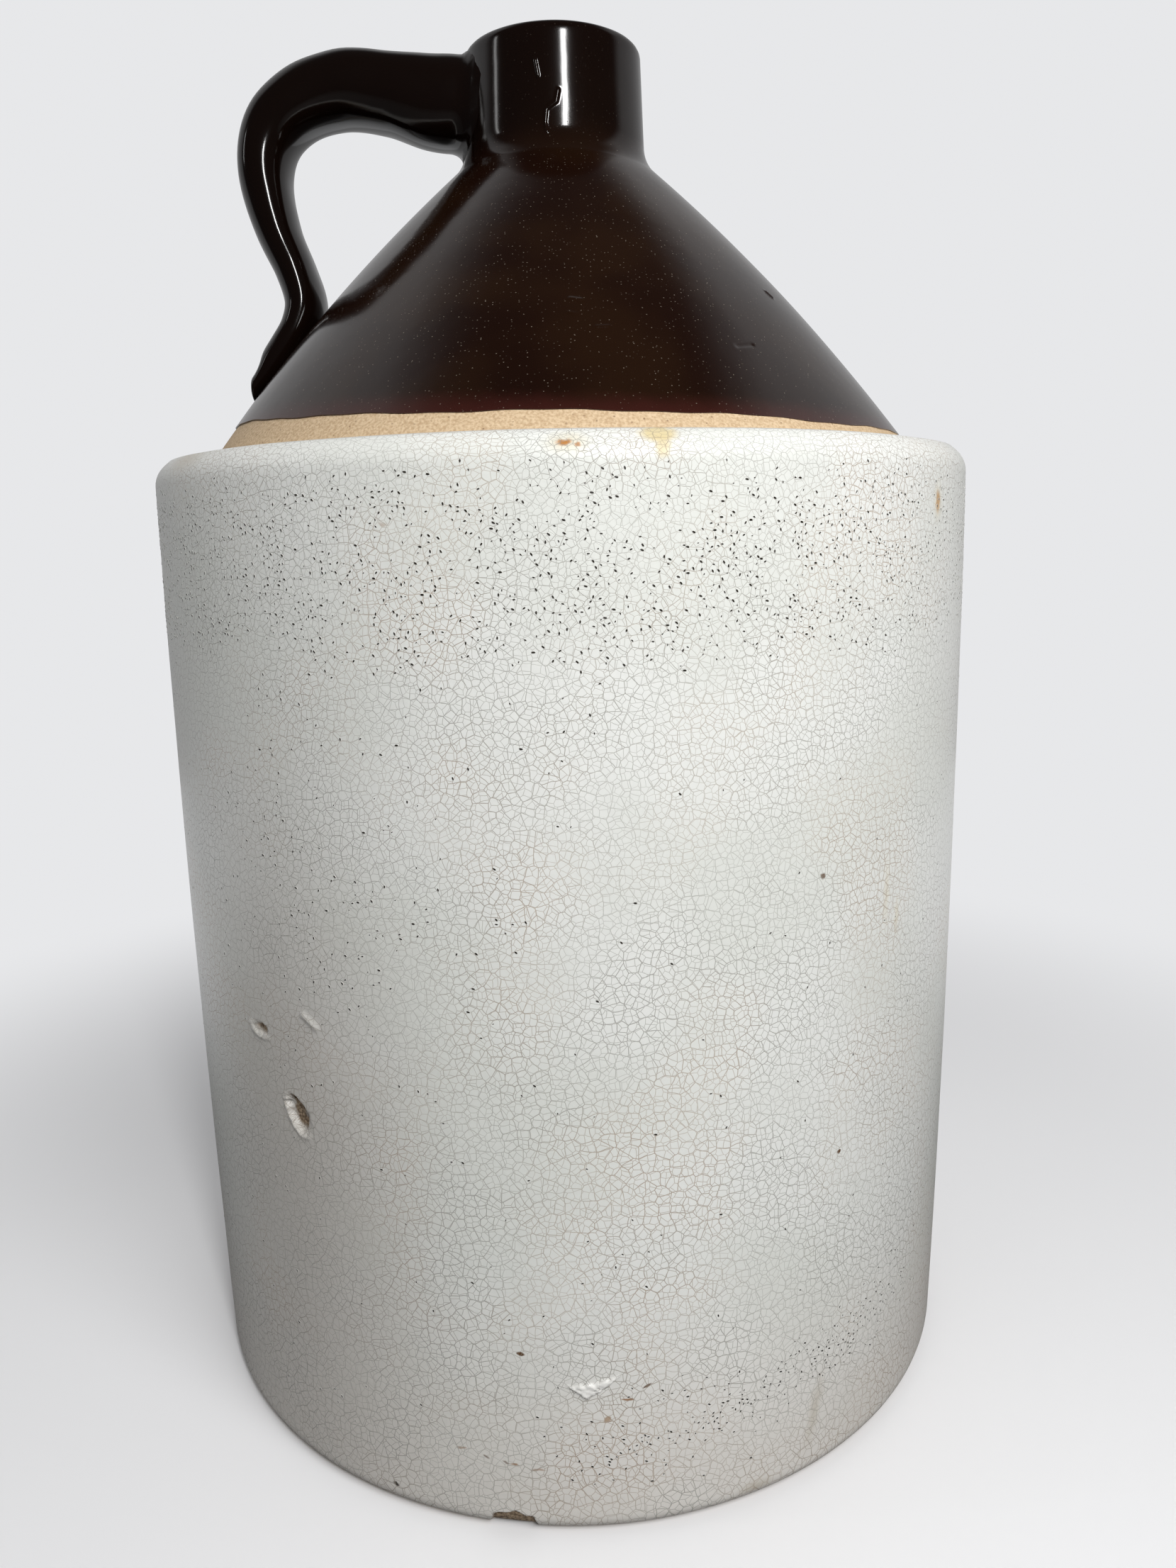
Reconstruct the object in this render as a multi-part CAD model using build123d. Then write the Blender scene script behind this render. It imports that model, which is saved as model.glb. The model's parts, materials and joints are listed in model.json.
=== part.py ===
"""A five gallon stoneware shoulder jug: a white crock body, a brown coned top and a pulled strap handle.

Millimetres, +Z up. The origin is the centre of the foot, on the surface that the jug stands on.
The handle stands out towards -X. Every round piece is turned about the Z axis from a half section.
"""
from build123d import *
import os
from math import hypot, sqrt

os.makedirs("parts", exist_ok=True)

# Crock body, in fired clay
ledge_height = 330.2
foot_radius = 142.8
ledge_radius = 142.4
wall_swell = 1.5
foot_rounding = 7.0
ledge_rounding = 8.0
wall = 9.5
floor_thickness = 13.0
floor_cove = 14.0

# Ledge that carries the shoulder, the haunch under it, and the rebate for the shoulder's foot
ledge_width = 18.0
ledge_thickness = 9.0
haunch_depth = 14.0
rebate_depth = 3.0

# Shoulder cone, from the ledge up to the neck's root
shoulder_rise = 99.4
shoulder_swell = 3.6
shoulder_foot_width = 12.5

# Neck, with the spigot that drops into the shoulder's top
neck_rise = 37.4
neck_root_radius = 31.3
neck_taper = 1.3
neck_root_rounding = 15.0
neck_seam_drop = 6.6
spigot_step = 1.3
spigot_depth = 5.0
mouth_radius = 19.0
mouth_flare = 4.0
lip_chamfer = 2.0

# Glaze: a white coat on the body, a brown slip coat on the top, and a brown slip lining
white_coat = 0.6
white_foot_line = 2.0
brown_coat = 0.4
lip_rounding = 3.0
dip_line_rise = 8.3
dip_tilt_front = 1.2
dip_tilt_side = 1.7
lining_depth = 8.0

# Strap handle, pulled thick at the neck and thin towards its tail
handle_stand_out = 71.9
handle_drop = 38.0
strap_root_thickness = 28.4
strap_crown_thickness = 22.2
strap_limb_thickness = 16.8
strap_tail_thickness = 13.0
strap_root_width = 30.0
strap_width = 28.0
strap_tail_width = 33.0
knee_rise = 49.8
knee_stand_off = 10.2
heel_rise = 38.4
heel_stand_off = 5.2
tail_rise = 23.4
tail_stand_off = 4.2

# Heights and radii that follow from the sizes above
neck_root_height = ledge_height + shoulder_rise
jug_height = neck_root_height + neck_rise
lip_height = jug_height - brown_coat
lining_top = lip_height - lining_depth
dip_line_height = ledge_height + dip_line_rise
rebate_height = ledge_height - rebate_depth
ceiling_height = ledge_height - ledge_thickness
shoulder_radius = ledge_radius - ledge_width
throat_radius = shoulder_radius - shoulder_foot_width
neck_seam_height = neck_root_height - neck_seam_drop
neck_underside = neck_seam_height - spigot_depth
neck_top_radius = neck_root_radius - neck_taper
spigot_radius = neck_root_radius - spigot_step
cavity_foot = foot_radius - wall
cavity_top = ledge_radius - wall
handle_reach = neck_top_radius + handle_stand_out

# Open air around the jug, which the hollow runs out into above the mouth
air_radius = foot_radius + ledge_radius
air_height = jug_height + ledge_radius

# Half sections. Each corner is its radius, its height, its rounding and the swell of the side that follows.
body_corners = [
    (0, 0, 0, 0),
    (foot_radius, 0, foot_rounding, wall_swell),
    (ledge_radius, ledge_height, ledge_rounding, 0),
    (0, ledge_height, 0, 0),
]
shoulder_corners = [
    (0, rebate_height, 0, 0),
    (shoulder_radius, rebate_height, 0, 0),
    (shoulder_radius, ledge_height, 0, shoulder_swell),
    (neck_root_radius, neck_root_height, neck_root_rounding, 0),
]
fired_lip_corners = [
    (neck_top_radius, lip_height - lip_chamfer, 0, 0),
    (neck_top_radius - lip_chamfer, lip_height, 0, 0),
    (0, lip_height, 0, 0),
]
glazed_lip_corners = [
    (neck_top_radius, lip_height, lip_rounding - brown_coat, 0),
    (0, lip_height, 0, 0),
]
hollow_corners = [
    (0, floor_thickness, 0, 0),
    (cavity_foot - floor_cove, floor_thickness, 0, 0),
    (cavity_foot, floor_thickness + floor_cove, 0, wall_swell),
    (cavity_top, ceiling_height - haunch_depth, 0, 0),
    (throat_radius, ceiling_height, 0, 0),
    (throat_radius, ledge_height, 0, shoulder_swell),
    (spigot_radius, neck_underside, 0, 0),
    (mouth_radius + mouth_flare, neck_underside, 0, 0),
    (mouth_radius, neck_underside + mouth_flare, 0, 0),
    (mouth_radius, lip_height - lip_chamfer, 0, 0),
    (mouth_radius + lip_chamfer, lip_height, 0, 0),
    (air_radius, lip_height, 0, 0),
    (air_radius, air_height, 0, 0),
    (0, air_height, 0, 0),
]


def right_normal(start, end):
    """The unit vector across the side from start to end, on its right, which is the outside."""
    run, rise = end[0] - start[0], end[1] - start[1]
    length = hypot(run, rise)
    return rise / length, -run / length


def coated(corners, coat):
    """The same corners once a coat lies on every side; a coat below zero lies on the inside."""
    moved = []
    for place, (radius, height, rounding, swell) in enumerate(corners):
        sides = [(place - 1, place), (place, place + 1)]
        normals = [right_normal(corners[a], corners[b]) for a, b in sides if a >= 0 and b < len(corners)]
        (x1, z1), (x2, z2) = normals[0], normals[-1]
        mitre = coat / (1 + x1 * x2 + z1 * z2)
        outer_corner = x1 * z2 - z1 * x2 > 0
        if rounding:
            rounding += coat if outer_corner else -coat
        moved.append((radius + (x1 + x2) * mitre, height + (z1 + z2) * mitre, rounding, swell))
    return moved


def side(start, end, swell):
    """One side of a half section: a line, or the arc that stands out from it by swell."""
    if not swell:
        return Line(start, end)
    out, up = right_normal(start, end)
    middle = (start[0] + end[0]) / 2 + out * swell, (start[1] + end[1]) / 2 + up * swell
    return ThreePointArc(start, middle, end)


def turned(corners):
    """Turns a half section about the jug's axis."""
    points = [corner[:2] for corner in corners]
    sides = [side(a, b, corner[3]) for a, b, corner in zip(points, points[1:], corners)]
    section = make_face(sides + [Line(points[-1], points[0])])
    for radius, height, rounding, _ in corners:
        if rounding:
            section = fillet(section.vertices().sort_by_distance((radius, height))[0], rounding)
    return revolve(Plane.XZ * section, Axis.Z)


def drum(radius, bottom, top):
    """A plain cylinder on the jug's axis, used to part one piece from the next."""
    return Pos(0, 0, bottom) * Cylinder(radius, top - bottom, align=(Align.CENTER, Align.CENTER, Align.MIN))


def on_shoulder(rise, stand_off):
    """Reach and height of a point beside the shoulder: how high on it, and how far off its surface."""
    foot, root = shoulder_corners[2], shoulder_corners[3]
    chord = hypot(root[0] - foot[0], root[1] - foot[1])
    bend = (chord**2 / 4 + shoulder_swell**2) / (2 * shoulder_swell)
    out, up = right_normal(foot, root)
    centre_reach = (foot[0] + root[0]) / 2 - out * (bend - shoulder_swell)
    centre_height = (foot[1] + root[1]) / 2 - up * (bend - shoulder_swell)
    climb = ledge_height + rise - centre_height
    share = (bend + stand_off) / bend
    return centre_reach + sqrt(bend**2 - climb**2) * share, centre_height + climb * share


def between(start, end, across, down):
    """A point part of the way from start to end, by one share across and another share down."""
    return start[0] + (end[0] - start[0]) * across, start[1] + (end[1] - start[1]) * down


def mixed(start, end, share):
    """A size part of the way from start to end."""
    return start + (end - start) * share


def strap():
    """The handle as a loft of oval sections from inside the neck's wall, over the arch, to the tail."""
    lip = neck_top_radius, jug_height
    arch = handle_reach, jug_height - handle_drop
    knee = on_shoulder(knee_rise, knee_stand_off)
    heel = on_shoulder(heel_rise, heel_stand_off)
    tail = on_shoulder(tail_rise, tail_stand_off)
    root, crown = strap_root_thickness, strap_crown_thickness
    limb, thin = strap_limb_thickness, strap_tail_thickness
    stations = [
        (between(lip, arch, -0.11, 0.40), root, strap_root_width),
        (between(lip, arch, 0.17, 0.39), root, strap_root_width),
        (between(lip, arch, 0.37, 0.30), mixed(root, crown, 0.8), strap_width),
        (between(lip, arch, 0.58, 0.27), crown, strap_width),
        (between(lip, arch, 0.75, 0.33), mixed(crown, limb, 0.25), strap_width),
        (between(lip, arch, 0.88, 0.46), mixed(crown, limb, 0.42), strap_width),
        (between(lip, arch, 0.97, 0.68), mixed(crown, limb, 0.60), strap_width),
        (arch, limb, strap_width),
        (between(arch, knee, 0.32, 0.43), mixed(limb, thin, 0.6), strap_width),
        (between(arch, knee, 0.78, 0.75), mixed(limb, thin, 0.9), strap_width),
        (knee, thin, mixed(strap_width, strap_tail_width, 0.3)),
        (between(knee, heel, 0.43, 0.55), thin, mixed(strap_width, strap_tail_width, 0.5)),
        (heel, thin, mixed(strap_width, strap_tail_width, 0.8)),
        (tail, thin, strap_tail_width),
    ]
    ovals = []
    for place, ((reach, height), thickness, width) in enumerate(stations):
        behind = stations[max(place - 1, 0)][0]
        ahead = stations[min(place + 1, len(stations) - 1)][0]
        way = Vector(behind[0] - ahead[0], 0, ahead[1] - behind[1])
        if place == len(stations) - 1:
            way = Vector(-1, 0, 0)
        across = Plane(origin=(-reach, 0, height), x_dir=(0, 1, 0), z_dir=way)
        ovals.append(across * Ellipse(width / 2, thickness / 2))
    return loft(ovals, ruled=True)


# The solids that the pieces are parted from
filled_body = turned(body_corners)
filled_top = turned(shoulder_corners + fired_lip_corners)
glazed_top = turned(coated(shoulder_corners + glazed_lip_corners, brown_coat))
hollow = turned(hollow_corners)
lined_hollow = turned(coated(hollow_corners, -brown_coat))
whole_strap = strap()

# Crock body: floor, wall and the inturned ledge, with the rebate for the shoulder's foot
rebate = drum(shoulder_radius, rebate_height, jug_height)
crock_body = filled_body - hollow - rebate

# Shoulder and neck, parted at the seam and at the spigot's wall
fired_top = filled_top - hollow
neck_space = drum(spigot_radius, neck_underside, neck_seam_height) + drum(air_radius, neck_seam_height, air_height)
shoulder_cone = fired_top - neck_space
neck_collar = fired_top & neck_space

# Handle, ended on the neck and the shoulder
handle = whole_strap - filled_top

# White coat: down to just above the floor, and over the ledge as far as the shoulder's foot
white_space = drum(air_radius, white_foot_line, air_height)
body_glaze = (turned(coated(body_corners, white_coat)) & white_space) - filled_body - rebate

# Brown lining of everything that the slip was poured over, up into the mouth
lining_glaze = (hollow - lined_hollow) & drum(air_radius, 0, lining_top)

# Brown coat: one skin over shoulder, neck and lip, ended at the handle and at the tilted line of the dip
dip_plane = Pos(0, 0, dip_line_height) * Rot(dip_tilt_front, dip_tilt_side, 0)
dipped_space = dip_plane * drum(air_radius, 0, air_height)
shoulder_glaze = (glazed_top & dipped_space) - fired_top - lined_hollow - lining_glaze - whole_strap

pieces = {
    "crock_body": crock_body,
    "shoulder_cone": shoulder_cone,
    "neck_collar": neck_collar,
    "handle": handle,
    "body_glaze": body_glaze,
    "shoulder_glaze": shoulder_glaze,
    "lining_glaze": lining_glaze,
}
for name, piece in pieces.items():
    print(name, "solids", len(piece.solids()), "volume", round(piece.volume), "mm3")
    export_step(piece, f"parts/{name}.step")
print("capacity to the mouth", round((lined_hollow & drum(air_radius, 0, lining_top)).volume / 1e6, 2), "litres")
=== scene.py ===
# %% [markdown]
# # A stoneware shoulder jug
# The frame holds the jug as plain solids: the clay members, the strap handle and the coats of glaze.
# This lesson dresses them. Every round piece is turned again with enough points to look smooth, the
# handle is pulled with soft blends, and the glazes get their crazing, pinholes, chips and stains.

# %% Load the frame
import json
import math

import bmesh
import bpy
import numpy as np
from mathutils import Matrix, Vector
from mathutils import noise as noise_field

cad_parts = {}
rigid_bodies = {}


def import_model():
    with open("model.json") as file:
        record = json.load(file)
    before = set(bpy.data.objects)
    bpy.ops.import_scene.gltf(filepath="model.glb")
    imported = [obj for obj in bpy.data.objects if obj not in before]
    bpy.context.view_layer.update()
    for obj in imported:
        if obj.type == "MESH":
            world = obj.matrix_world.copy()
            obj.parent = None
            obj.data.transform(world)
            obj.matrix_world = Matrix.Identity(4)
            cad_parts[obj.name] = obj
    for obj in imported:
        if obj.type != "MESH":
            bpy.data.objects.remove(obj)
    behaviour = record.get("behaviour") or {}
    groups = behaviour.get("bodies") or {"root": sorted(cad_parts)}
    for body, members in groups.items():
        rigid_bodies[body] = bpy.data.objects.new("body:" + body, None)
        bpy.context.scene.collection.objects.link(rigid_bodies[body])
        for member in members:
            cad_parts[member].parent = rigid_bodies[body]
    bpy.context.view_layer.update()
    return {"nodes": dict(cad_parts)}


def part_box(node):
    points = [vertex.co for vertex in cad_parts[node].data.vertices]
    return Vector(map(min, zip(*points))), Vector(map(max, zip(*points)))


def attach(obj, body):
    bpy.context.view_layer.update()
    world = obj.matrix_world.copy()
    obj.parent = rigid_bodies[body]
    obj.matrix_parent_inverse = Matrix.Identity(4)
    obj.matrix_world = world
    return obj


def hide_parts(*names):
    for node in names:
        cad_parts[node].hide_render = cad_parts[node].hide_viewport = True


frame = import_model()
print("nodes in the frame:", ", ".join(sorted(frame["nodes"])))

# %% [markdown]
# ## Sizes
# Heights and outside radii are read from the frame, so a dressed piece can't drift away from its solid.
# What a box can't tell, such as a rounding or a swell, is written here once, in metres.

# %% Read the sizes
MM = 0.001
crock_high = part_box("crock_body")[1]
white_low, white_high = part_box("body_glaze")
cone_low, cone_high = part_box("shoulder_cone")
neck_low, neck_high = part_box("neck_collar")
slip_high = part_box("shoulder_glaze")[1]
lining_low, lining_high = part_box("lining_glaze")

wall_swell = 1.5 * MM
foot_spread = 0.2 * MM
foot_rounding = 7.0 * MM
ledge_rounding = 8.0 * MM
wall = 9.5 * MM
floor_cove = 14 * MM
ledge_thickness = 9 * MM
haunch_depth = 14 * MM
shoulder_swell = 3.6 * MM
shoulder_foot_width = 12.5 * MM
neck_rise = 37.4 * MM
neck_root_radius = 31.3 * MM
neck_taper = 1.3 * MM
neck_root_rounding = 15 * MM
mouth_radius = 19 * MM
mouth_flare = 4 * MM
lip_rounding = 2.6 * MM
lip_chamfer = 2 * MM

ledge_height = crock_high.z
white_coat = white_high.z - crock_high.z
brown_coat = slip_high.z - neck_high.z
belly_radius = crock_high.x
foot_radius = belly_radius - wall_swell + foot_spread
ledge_radius = belly_radius - wall_swell - foot_spread
shoulder_radius = cone_high.x
throat_radius = shoulder_radius - shoulder_foot_width
neck_root_height = slip_high.z - neck_rise
neck_top_radius = neck_root_radius - neck_taper
lip_height = neck_high.z
print(f"jug {slip_high.z * 1000:.1f} mm tall, white coat {white_coat * 1000:.2f} mm, slip {brown_coat * 1000:.2f} mm")

# %% [markdown]
# ## Half sections
# A thrown pot is a half section turned about its axis. The section is a list of corners, each with its
# radius, its height, its rounding and the swell of the side that follows. A long list of points would
# hide the shape, so the points are worked out from the corners.


# %% Walk along a half section
def unit(vector):
    return vector / np.linalg.norm(vector)


def side_ways(start, end, swell):
    """The ways that a swollen side leaves its first corner and meets its last one."""
    way = unit(end - start)
    out = np.array([way[1], -way[0]])
    lean = 4 * swell / np.linalg.norm(end - start)
    return unit(way + out * lean), unit(way - out * lean)


def half_section(corners, step):
    """Points along the corners, with every rounding and swell, about one step apart."""
    places = [np.array(corner[:2], float) for corner in corners]
    ways = [side_ways(a, b, corner[3]) for a, b, corner in zip(places, places[1:], corners)]
    cut = [0.0] * len(corners)
    arcs = [[place] for place in places]
    for spot in range(1, len(corners) - 1):
        rounding = corners[spot][2]
        arriving, leaving = ways[spot - 1][1], ways[spot][0]
        turn = math.atan2(arriving[0] * leaving[1] - arriving[1] * leaving[0], arriving @ leaving)
        if not rounding:
            continue
        cut[spot] = rounding * math.tan(abs(turn) / 2)
        inward = np.array([-arriving[1], arriving[0]]) * math.copysign(1, turn)
        centre = places[spot] - arriving * cut[spot] + inward * rounding
        bends = np.linspace(0, abs(turn), max(4, math.ceil(abs(turn) * rounding / step * 2)))
        arcs[spot] = [centre - inward * rounding * math.cos(b) + arriving * rounding * math.sin(b) for b in bends]
    points = list(arcs[0])
    for spot, (start, end) in enumerate(zip(places, places[1:])):
        length = np.linalg.norm(end - start)
        out = np.array([end[1] - start[1], start[0] - end[0]]) / length
        first, last = cut[spot] / length, 1 - cut[spot + 1] / length
        shares = np.linspace(first, last, max(2, math.ceil((last - first) * length / step) + 1))[1:-1]
        points += [start + (end - start) * t + out * 4 * corners[spot][3] * t * (1 - t) for t in shares]
        points += arcs[spot + 1]
    return np.array(points)


def grown(points, coat):
    """The same line moved out by a coat, straight across itself at every point."""
    ways = np.gradient(points, axis=0)
    ways /= np.linalg.norm(ways, axis=1)[:, None]
    return points + np.column_stack([ways[:, 1], -ways[:, 0]]) * np.reshape(coat, (-1, 1))


def closed_shell(points, depth, every):
    """Closes an open line into a shell's section: back along its inside, with fewer points."""
    inside = grown(points, -depth)[::-1]
    kept = sorted(set(range(0, len(inside), every)) | {len(inside) - 1})
    return np.vstack([points, inside[kept], points[:1]])


# %% [markdown]
# ## Turning with Geometry Nodes
# All the round pieces follow one rule, so one node tree makes them. It starts from a flat grid: one side
# of the grid counts the steps around the axis, the other counts the points of the half section. Each grid
# point looks up its section point and is swung round to its angle. A Screw modifier could turn a section
# too, but in the tree the slight unevenness of hand turning is one more field, moved along the normal.


# %% Helpers for node trees
def add(tree, kind, inputs=None, **settings):
    """Adds a node. An input takes a value, or a socket that is then wired to it."""
    made = tree.nodes.new(kind)
    for name, value in settings.items():
        setattr(made, name, value)
    for name, value in (inputs or {}).items():
        if isinstance(value, bpy.types.NodeSocket):
            tree.links.new(value, made.inputs[name])
        else:
            made.inputs[name].default_value = value
    return made


def sums(tree, operation, first, second=0.0):
    """One Math node's result."""
    return add(tree, "ShaderNodeMath", {0: first, 1: second}, operation=operation).outputs[0]


def new_tree(name, inputs):
    """An empty Geometry Nodes tree with named inputs."""
    tree = bpy.data.node_groups.new(name, "GeometryNodeTree")
    for label, kind in inputs.items():
        tree.interface.new_socket(label, in_out="INPUT", socket_type="NodeSocket" + kind)
    tree.interface.new_socket("Geometry", in_out="OUTPUT", socket_type="NodeSocketGeometry")
    return tree, tree.nodes.new("NodeGroupInput").outputs


def end_tree(tree, geometry, material):
    """Realizes what the tree made, gives it its material and sends it out."""
    real = add(tree, "GeometryNodeRealizeInstances", {"Geometry": geometry})
    smooth = add(tree, "GeometryNodeSetShadeSmooth", {"Geometry": real.outputs[0]})
    dressed = add(tree, "GeometryNodeSetMaterial", {"Geometry": smooth.outputs[0], "Material": material})
    add(tree, "NodeGroupOutput", {"Geometry": dressed.outputs[0]})


def run_tree(name, tree, settings):
    """Runs a tree by itself and keeps its result as a plain mesh object at the origin."""
    piece = bpy.data.objects.new(name, bpy.data.meshes.new(name))
    bpy.context.scene.collection.objects.link(piece)
    runner = piece.modifiers.new(tree.name, "NODES")
    runner.node_group = tree
    for socket in tree.interface.items_tree:
        if socket.in_out == "INPUT":
            runner[socket.identifier] = settings[socket.name]
    result = bpy.data.meshes.new_from_object(piece.evaluated_get(bpy.context.evaluated_depsgraph_get()))
    piece.modifiers.remove(runner)
    for slot in reversed(range(len(result.materials))):
        if not result.materials[slot]:
            result.materials.pop(index=slot)
    piece.data = result
    return piece


# %% The turning tree
turning, given = new_tree("turned_ware", {
    "Half Section": "Object", "Around": "Int", "Along": "Int",
    "Unevenness": "Float", "Uneven Spacing": "Float", "Material": "Material",
})
around_ends = sums(turning, "ADD", given["Around"], 1.0)
grid = add(turning, "GeometryNodeMeshGrid", {
    "Size X": 1.0, "Size Y": 1.0, "Vertices X": around_ends, "Vertices Y": given["Along"],
})
flat = add(turning, "ShaderNodeSeparateXYZ", {0: add(turning, "GeometryNodeInputPosition").outputs[0]})
angle = sums(turning, "MULTIPLY", flat.outputs["X"], 2 * math.pi)
last_point = sums(turning, "SUBTRACT", given["Along"], 1.0)
which = sums(turning, "MULTIPLY", sums(turning, "ADD", flat.outputs["Y"], 0.5), last_point)
ring = add(turning, "FunctionNodeFloatToInt", {0: which}, rounding_mode="ROUND")
section = add(turning, "GeometryNodeObjectInfo", {"Object": given["Half Section"]})
looked_up = add(turning, "GeometryNodeSampleIndex", {
    "Geometry": section.outputs["Geometry"], "Index": ring.outputs[0],
}, data_type="FLOAT_VECTOR")
turning.links.new(add(turning, "GeometryNodeInputPosition").outputs[0], looked_up.inputs["Value"])
point = add(turning, "ShaderNodeSeparateXYZ", {0: looked_up.outputs[0]})
swung = add(turning, "ShaderNodeCombineXYZ", {
    "X": sums(turning, "MULTIPLY", point.outputs["X"], sums(turning, "COSINE", angle)),
    "Y": sums(turning, "MULTIPLY", point.outputs["X"], sums(turning, "SINE", angle)),
    "Z": point.outputs["Z"],
})
turned = add(turning, "GeometryNodeSetPosition", {"Geometry": grid.outputs[0], "Position": swung.outputs[0]})
welded = add(turning, "GeometryNodeMergeByDistance", {"Geometry": turned.outputs[0], "Distance": 0.00001})
drift = add(turning, "ShaderNodeTexNoise", {
    "Scale": sums(turning, "DIVIDE", 1.0, given["Uneven Spacing"]), "Detail": 1.0,
})
push = sums(turning, "MULTIPLY", sums(turning, "SUBTRACT", drift.outputs[0], 0.5), given["Unevenness"])
along_normal = add(turning, "ShaderNodeVectorMath", {
    0: add(turning, "GeometryNodeInputNormal").outputs[0],
}, operation="SCALE")
turning.links.new(push, along_normal.inputs["Scale"])
wavered = add(turning, "GeometryNodeSetPosition", {
    "Geometry": welded.outputs[0], "Offset": along_normal.outputs[0],
})
end_tree(turning, wavered.outputs[0], given["Material"])


def turn(name, points, around, material, unevenness=0.0, spacing=0.05):
    """Turns a half section, given as radius and height pairs, into a finished piece."""
    mesh = bpy.data.meshes.new("half_section")
    mesh.from_pydata([(r, 0, z) for r, z in points], [(i, i + 1) for i in range(len(points) - 1)], [])
    pattern = bpy.data.objects.new("half_section", mesh)
    bpy.context.scene.collection.objects.link(pattern)
    piece = run_tree(name, turning, {
        "Half Section": pattern, "Around": around, "Along": len(points),
        "Unevenness": unevenness, "Uneven Spacing": spacing, "Material": material,
    })
    bpy.data.objects.remove(pattern)
    piece.data.set_sharp_from_angle(angle=math.radians(50))
    print(f"{name}: {len(points)} rings of {around}, {len(piece.data.polygons)} faces")
    return piece


def belongs(piece, slot, *nodes):
    """Ties a finished piece to the jug's one body and hides the solids that it stands for. Its finish, slot, is not
    used.
    """
    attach(piece, "root")
    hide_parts(*nodes)


# %% [markdown]
# ## Finishes
# Each finish is built from a Principled shader with procedural colour on Object coordinates, which are
# the jug's own metres. A spacing in metres becomes a texture scale by dividing, so that grain, specks and
# crazing keep their real size whatever the piece.


# %% Helpers for finishes
def new_finish(name, roughness, ior=1.5):
    """A material, its tree, its shader and the Object coordinates."""
    material = bpy.data.materials.new(name)
    material.use_nodes = True
    tree = material.node_tree
    shader = tree.nodes["Principled BSDF"]
    shader.inputs["Roughness"].default_value = roughness
    shader.inputs["IOR"].default_value = ior
    return material, tree, shader, add(tree, "ShaderNodeTexCoord").outputs["Object"]


def noise(tree, place, spacing, detail=2.0):
    """Soft noise with features about one spacing apart."""
    return add(tree, "ShaderNodeTexNoise", {"Vector": place, "Scale": 1 / spacing, "Detail": detail}).outputs[0]


def ramp(tree, value, start, end, low=0.0, high=1.0):
    """A soft step: low below start, high above end."""
    return add(tree, "ShaderNodeMapRange", {
        "Value": value, "From Min": start, "From Max": end, "To Min": low, "To Max": high,
    }, interpolation_type="SMOOTHSTEP").outputs[0]


def blend(tree, share, first, second):
    """A colour between two others. Each may be a colour or a socket."""
    mix = add(tree, "ShaderNodeMix", data_type="RGBA")
    for place, value in ((0, share), (6, first), (7, second)):
        if isinstance(value, bpy.types.NodeSocket):
            tree.links.new(value, mix.inputs[place])
        else:
            mix.inputs[place].default_value = (*value, 1) if place else value
    return mix.outputs[2]


def relief(tree, shader, *layers):
    """Chains Bump nodes, each a height socket and its depth in metres, into the shader's normal."""
    normal = None
    for height, depth in layers:
        bump = add(tree, "ShaderNodeBump", {"Height": height, "Distance": depth, "Strength": 1.0})
        if normal:
            tree.links.new(normal, bump.inputs["Normal"])
        normal = bump.outputs[0]
    tree.links.new(normal, shader.inputs["Normal"])


def on_wall(azimuth, height, radius):
    """A point on a round wall. Azimuth is in degrees from the front, to the right."""
    swing = math.radians(azimuth)
    return Vector((radius * math.sin(swing), -radius * math.cos(swing), height))


# %% [markdown]
# ## White glaze
# The body's glaze is a thick grey white, slightly warm at the foot. It has crazed all over: the coat
# shrank more than the clay and broke into small cells, and dirt has drawn the cracks. The distance to the
# edge of Voronoi cells gives exactly that net. The wall is unrolled flat for it, by angle and height,
# because a net cut out of cells in space has smudges where a cell's side lies along the wall. Two nets
# are laid over each other: the first long cracks of a glaze are later joined by shorter ones.

# %% White glaze: cells and body colour
white_glaze, tree, shader, place = new_finish("white_crazed_glaze", 0.3)
spot = add(tree, "ShaderNodeSeparateXYZ", {0: place}).outputs
axis_way = add(tree, "ShaderNodeVectorMath", {0: place, 1: (1, 1, 0)}, operation="MULTIPLY")
from_axis = add(tree, "ShaderNodeVectorMath", {0: axis_way.outputs[0]}, operation="LENGTH").outputs["Value"]
swing = sums(tree, "ARCTAN2", spot["X"], sums(tree, "MULTIPLY", spot["Y"], -1.0))
up_wall = sums(tree, "ADD", spot["Z"], sums(tree, "SUBTRACT", belly_radius, from_axis))
# the cells get smaller from the foot to the ledge, so both ways along the wall stretch with height
shrink = 1.25
round_wall = sums(tree, "MULTIPLY", swing, belly_radius)
widened = sums(tree, "ADD", 1.0, sums(tree, "MULTIPLY", up_wall, shrink))
across = sums(tree, "MULTIPLY", round_wall, widened)
upward = sums(tree, "ADD", up_wall, sums(tree, "MULTIPLY", sums(tree, "POWER", up_wall, 2.0), shrink / 2))
unrolled = add(tree, "ShaderNodeCombineXYZ", {"X": across, "Y": upward}).outputs[0]
warp = add(tree, "ShaderNodeTexNoise", {"Vector": unrolled, "Scale": 1 / 0.005, "Detail": 1.0}, noise_dimensions="2D")
bent = add(tree, "ShaderNodeVectorMath", {0: warp.outputs["Color"], 1: (0.5, 0.5, 0.5)}, operation="SUBTRACT")
bent = add(tree, "ShaderNodeVectorMath", {0: bent.outputs[0], "Scale": 0.0010}, operation="SCALE")
bent = add(tree, "ShaderNodeVectorMath", {0: unrolled, 1: bent.outputs[0]}, operation="ADD").outputs[0]


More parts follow.
